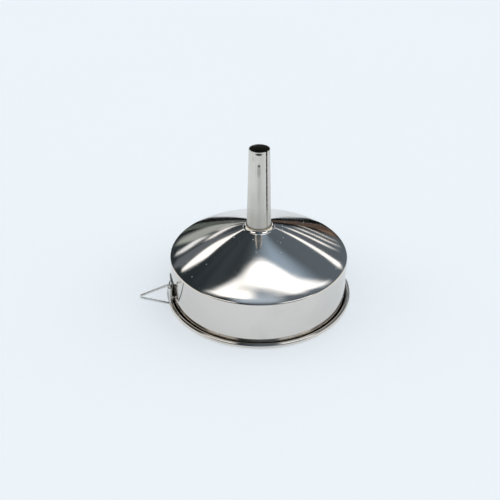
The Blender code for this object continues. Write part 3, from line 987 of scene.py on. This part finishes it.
def glowMaterial(name, color, strength, softEnd, softSide):
    # a card whose glow fades to its ends and its long sides
    material = bpy.data.materials.new(name)
    material.use_nodes = True
    tree = material.node_tree
    tree.nodes.clear()
    out = addNode(tree, "ShaderNodeOutputMaterial")
    glow = addNode(tree, "ShaderNodeEmission")
    glow.inputs["Color"].default_value = (*color, 1)
    glow.inputs["Strength"].default_value = strength
    clear = addNode(tree, "ShaderNodeBsdfTransparent")
    mixer = addNode(tree, "ShaderNodeMixShader")
    where = addNode(tree, "ShaderNodeTexCoord")
    split = addNode(tree, "ShaderNodeSeparateXYZ")
    plug(tree, where.outputs["UV"], split.inputs[0])
    fades = []
    for axis, soft in ((0, softEnd), (1, softSide)):
        centred = mathNode(tree, "ABSOLUTE", mathNode(tree, "SUBTRACT", split.outputs[axis], 0.5))
        edge = addNode(tree, "ShaderNodeMapRange", interpolation_type="SMOOTHSTEP")
        edge.inputs["From Min"].default_value = 0.5
        edge.inputs["From Max"].default_value = 0.5 - soft
        plug(tree, centred, edge.inputs["Value"])
        fades.append(edge.outputs[0])
    plug(tree, mathNode(tree, "MULTIPLY", fades[0], fades[1]), mixer.inputs[0])
    plug(tree, clear.outputs[0], mixer.inputs[1])
    plug(tree, glow.outputs[0], mixer.inputs[2])
    plug(tree, mixer.outputs[0], out.inputs["Surface"])
    return material


def hideCard(card):
    card.visible_camera = False
    card.visible_diffuse = False
    card.visible_shadow = False


def ribbonCard(name, line, widths, color, strength, softEnd=0.3, softSide=0.3, upright=False):
    # a glowing ribbon along a line of points, its width going evenly from one value to the other
    mesh = bpy.data.meshes.new(name)
    builder = bmesh.new()
    layer = builder.loops.layers.uv.new("UVMap")
    count = len(line) - 1
    sides = []
    for i, point in enumerate(line):
        along = (Vector(line[min(count, i + 1)]) - Vector(line[max(0, i - 1)])).normalized()
        facing = Vector((0, 1, 0)) if upright else Vector((0, 0, 1))
        width = widths[0] + (widths[1] - widths[0]) * i / count
        across = along.cross(facing).normalized() * width / 2
        sides.append((builder.verts.new(Vector(point) - across), builder.verts.new(Vector(point) + across)))
    for i in range(count):
        face = builder.faces.new((sides[i][0], sides[i + 1][0], sides[i + 1][1], sides[i][1]))
        corners = ((i / count, 0), ((i + 1) / count, 0), ((i + 1) / count, 1), (i / count, 1))
        for corner, uv in zip(face.loops, corners):
            corner[layer].uv = uv
    builder.to_mesh(mesh)
    builder.free()
    card = bpy.data.objects.new(name, mesh)
    scene.collection.objects.link(card)
    card.location = (axisX, axisY, 0)
    mesh.materials.append(glowMaterial(name + "Glow", color, strength, softEnd, softSide))
    hideCard(card)
    return card


# lamps overhead: span in x, line's offset and bow in y, widths, colour, strength, soft end and side
ceilingCards = {
    "topStrip": ((-0.122, 0.25), (0.030, 1.12), (0.053, 0.055), (1.0, 1.0, 1.0), 3.6, 0.42, 0.40),
    "topStripRight": ((0.04, 0.40), (0.022, 1.50), (0.035, 0.04), (0.96, 0.98, 1.0), 2.0, 0.3, 0.45),
    "lowStripLeft": ((-0.240, 0.015), (-0.001, 1.57), (0.038, 0.030), (1.0, 1.0, 0.98), 2.2, 0.36, 0.42),
    "topStripLeft": ((-0.28, -0.02), (0.026, 1.05), (0.026, 0.045), (0.96, 0.98, 1.0), 1.6, 0.4, 0.45),
    "topHalo": ((-0.06, 0.36), (0.066, 1.25), (0.15, 0.11), (0.60, 0.79, 1.0), 0.62, 0.45, 0.5),
    "nearHalo": ((-0.16, 0.16), (-0.012, 0.9), (0.06, 0.06), (0.70, 0.84, 1.0), 0.75, 0.35, 0.4),
    "frontLeft": ((-0.48, -0.13), (-0.24, 0.60), (0.24, 0.24), (1.0, 0.99, 0.96), 2.0, 0.2, 0.2),
    "frontRight": ((0.12, 0.50), (-0.24, 0.60), (0.24, 0.24), (0.96, 0.99, 1.0), 2.2, 0.2, 0.2),
}
# cards at the back: points in x and z, widths, colour, strength, soft end and side
backCards = {
    "leftHigh": (((-0.62, 0.76), (-0.53, 0.655), (-0.44, 0.56), (-0.33, 0.46)), (0.13, 0.10), (1.0, 1.0, 1.0), 1.7, 0.25, 0.2),
    "leftShade": (((-0.62, 0.60), (-0.50, 0.50), (-0.40, 0.42), (-0.28, 0.34)), (0.16, 0.10), (0.75, 0.86, 1.0), 0.20, 0.2, 0.3),
    "leftStreak": (((-0.48, 0.385), (-0.41, 0.33), (-0.35, 0.275), (-0.28, 0.22)), (0.05, 0.03), (0.94, 0.97, 1.0), 1.3, 0.3, 0.4),
    "leftStreakTwo": (((-0.38, 0.36), (-0.31, 0.285), (-0.24, 0.21), (-0.17, 0.15)), (0.03, 0.02), (1.0, 1.0, 1.0), 1.5, 0.25, 0.4),
    "leftGreen": (((-0.38, 0.26), (-0.29, 0.18), (-0.21, 0.12), (-0.12, 0.06)), (0.10, 0.07), (0.80, 0.88, 0.84), 0.55, 0.2, 0.35),
    "leftThread": (((-0.27, 0.21), (-0.21, 0.155), (-0.15, 0.105), (-0.10, 0.07)), (0.012, 0.01), (1.0, 1.0, 1.0), 1.3, 0.2, 0.3),
    "rightHigh": (((0.66, 0.62), (0.57, 0.53), (0.47, 0.465), (0.38, 0.41), (0.30, 0.36)), (0.08, 0.05), (1.0, 1.0, 1.0), 1.7, 0.25, 0.35),
    "rightShade": (((0.58, 0.46), (0.47, 0.39), (0.37, 0.33), (0.27, 0.26)), (0.08, 0.06), (0.75, 0.86, 1.0), 0.18, 0.3, 0.35),
    "rightStreak": (((0.46, 0.33), (0.38, 0.29), (0.30, 0.24), (0.22, 0.175)), (0.04, 0.02), (1.0, 0.99, 0.97), 1.4, 0.3, 0.4),
    "rightStreakTwo": (((0.43, 0.255), (0.36, 0.225), (0.28, 0.175), (0.20, 0.11)), (0.025, 0.015), (1.0, 0.98, 0.96), 1.1, 0.3, 0.4),
    "rightStreakThree": (((0.39, 0.205), (0.32, 0.165), (0.25, 0.115), (0.18, 0.065)), (0.014, 0.01), (1.0, 0.96, 0.93), 0.8, 0.3, 0.4),
    "rightBrown": (((0.36, 0.15), (0.29, 0.10), (0.22, 0.055), (0.16, 0.025)), (0.045, 0.02), (0.42, 0.29, 0.21), 0.55, 0.3, 0.35),
    "backHigh": (((-0.05, 0.56), (0.0, 0.56), (0.05, 0.56)), (0.42, 0.42), (1.0, 1.0, 1.0), 1.6, 0.3, 0.3),
}

# where the pale paper ends behind the funnel, seen in the polished cone: span, bottom, top, colour
farCards = {
    "farEdge": ((-0.5, 0.0, 0.5), 0.0, 0.035, (0.008, 0.009, 0.010)),
    "farLeft": ((-0.5, -0.25, 0.005), 0.034, 0.072, (0.12, 0.14, 0.13)),
    "farRight": ((0.0, 0.25, 0.5), 0.034, 0.072, (0.11, 0.08, 0.065)),
}


def buildStudio():
    world = bpy.data.worlds.new("studioAir")
    scene.world = world
    world.use_nodes = True
    tree = world.node_tree
    sky = tree.nodes["Background"]
    where = addNode(tree, "ShaderNodeTexCoord")
    split = addNode(tree, "ShaderNodeSeparateXYZ")
    plug(tree, where.outputs["Generated"], split.inputs[0])
    side = addNode(tree, "ShaderNodeMapRange", interpolation_type="SMOOTHSTEP")
    side.inputs["From Min"].default_value = -0.25
    side.inputs["From Max"].default_value = 0.05
    plug(tree, split.outputs[0], side.inputs["Value"])
    even = mixColor(tree, side.outputs[0], studio["skyLeft"], studio["skyRight"])
    # faint shapes of a room in the dark
    shapes = addNode(tree, "ShaderNodeTexNoise")
    shapes.inputs["Scale"].default_value = 2.6
    shapes.inputs["Detail"].default_value = 2.0
    plug(tree, where.outputs["Generated"], shapes.inputs["Vector"])
    shape = addNode(tree, "ShaderNodeMapRange", interpolation_type="SMOOTHSTEP")
    shape.inputs["From Min"].default_value = 0.38
    shape.inputs["From Max"].default_value = 0.64
    shape.inputs["To Max"].default_value = 0.38
    plug(tree, shapes.outputs["Fac"], shape.inputs["Value"])
    sides = mixColor(tree, shape.outputs[0], even, studio["roomShapes"])
    horizon = addNode(tree, "ShaderNodeMapRange", interpolation_type="SMOOTHSTEP")
    horizon.inputs["From Min"].default_value = 0.17
    horizon.inputs["From Max"].default_value = 0.06
    plug(tree, split.outputs[2], horizon.inputs["Value"])
    behind = mathNode(tree, "GREATER_THAN", split.outputs[1], 0.2)
    dark = mixColor(tree, mathNode(tree, "MULTIPLY", horizon.outputs[0], behind), sides, farCards["farEdge"][3])
    ahead = addNode(tree, "ShaderNodeMapRange", interpolation_type="SMOOTHSTEP")
    ahead.inputs["From Min"].default_value = -0.35
    ahead.inputs["From Max"].default_value = -0.60
    plug(tree, split.outputs[1], ahead.inputs["Value"])
    low = addNode(tree, "ShaderNodeMapRange", interpolation_type="SMOOTHSTEP")
    low.inputs["From Min"].default_value = 0.52
    low.inputs["From Max"].default_value = 0.28
    plug(tree, split.outputs[2], low.inputs["Value"])
    wallPart = mathNode(tree, "MULTIPLY", ahead.outputs[0], low.outputs[0])
    walled = mixColor(tree, wallPart, dark, studio["frontWall"])
    beside = addNode(tree, "ShaderNodeMapRange", interpolation_type="SMOOTHSTEP")
    beside.inputs["From Min"].default_value = 0.72
    beside.inputs["From Max"].default_value = 0.84
    plug(tree, mathNode(tree, "ABSOLUTE", split.outputs[0]), beside.inputs["Value"])
    under = addNode(tree, "ShaderNodeMapRange", interpolation_type="SMOOTHSTEP")
    under.inputs["From Min"].default_value = 0.62
    under.inputs["From Max"].default_value = 0.45
    plug(tree, split.outputs[2], under.inputs["Value"])
    sidePart = mathNode(tree, "MULTIPLY", beside.outputs[0], under.outputs[0])
    room = mixColor(tree, sidePart, walled, studio["sideWall"])
    # looked at directly, the room is as pale as the paper
    seen = addNode(tree, "ShaderNodeLightPath")
    plug(tree, mixColor(tree, seen.outputs["Is Camera Ray"], room, studio["backdrop"]), sky.inputs["Color"])

    lamp = bpy.data.lights.new("softSun", "SUN")
    lamp.energy = studio["sunStrength"]
    lamp.angle = studio["sunSpread"]
    lamp.color = (1.0, 1.0, 1.0)
    sun = bpy.data.objects.new("softSun", lamp)
    scene.collection.objects.link(sun)
    sun.rotation_euler = (math.radians(-12), math.radians(4), 0)
    sun.visible_glossy = False

    high = studio["stripHeight"]
    for name, (span, (offset, bow), widths, color, strength, softEnd, softSide) in ceilingCards.items():
        xs = [span[0] + (span[1] - span[0]) * i / 40 for i in range(41)]
        line = [(x, offset + bow * x * x, high) for x in xs]
        ribbonCard(name, line, widths, color, strength, softEnd, softSide)
        high += 0.004
    for name, (span, bottom, top, color) in farCards.items():
        line = [(x, studio["paperEdge"], (bottom + top) / 2) for x in span]
        ribbonCard(name, line, (top - bottom,) * 2, color, 1.0, 0.02, 0.03, upright=True)
    depth = studio["backCard"]
    for name, (points, widths, color, strength, softEnd, softSide) in backCards.items():
        line = [(x, depth, z) for x, z in points]
        ribbonCard(name, line, widths, color, strength, softEnd, softSide, upright=True)
        depth += 0.004


def buildCamera():
    lens = bpy.data.cameras.new("viewCamera")
    lens.sensor_width = 36.0
    lens.lens = 687.4 / 500 * 36.0
    lens.dof.use_dof = False
    camera = bpy.data.objects.new("viewCamera", lens)
    scene.collection.objects.link(camera)
    camera.location = (axisX - 0.0978 * 0.08, axisY - 6.5317 * 0.08, 4.7737 * 0.08)
    camera.rotation_euler = (math.radians(90 - 32.88), 0, 0)
    scene.camera = camera


buildFloor()
buildStudio()
buildCamera()
scene.view_settings.view_transform = "Standard"
scene.view_settings.look = "None"
print("studio built")
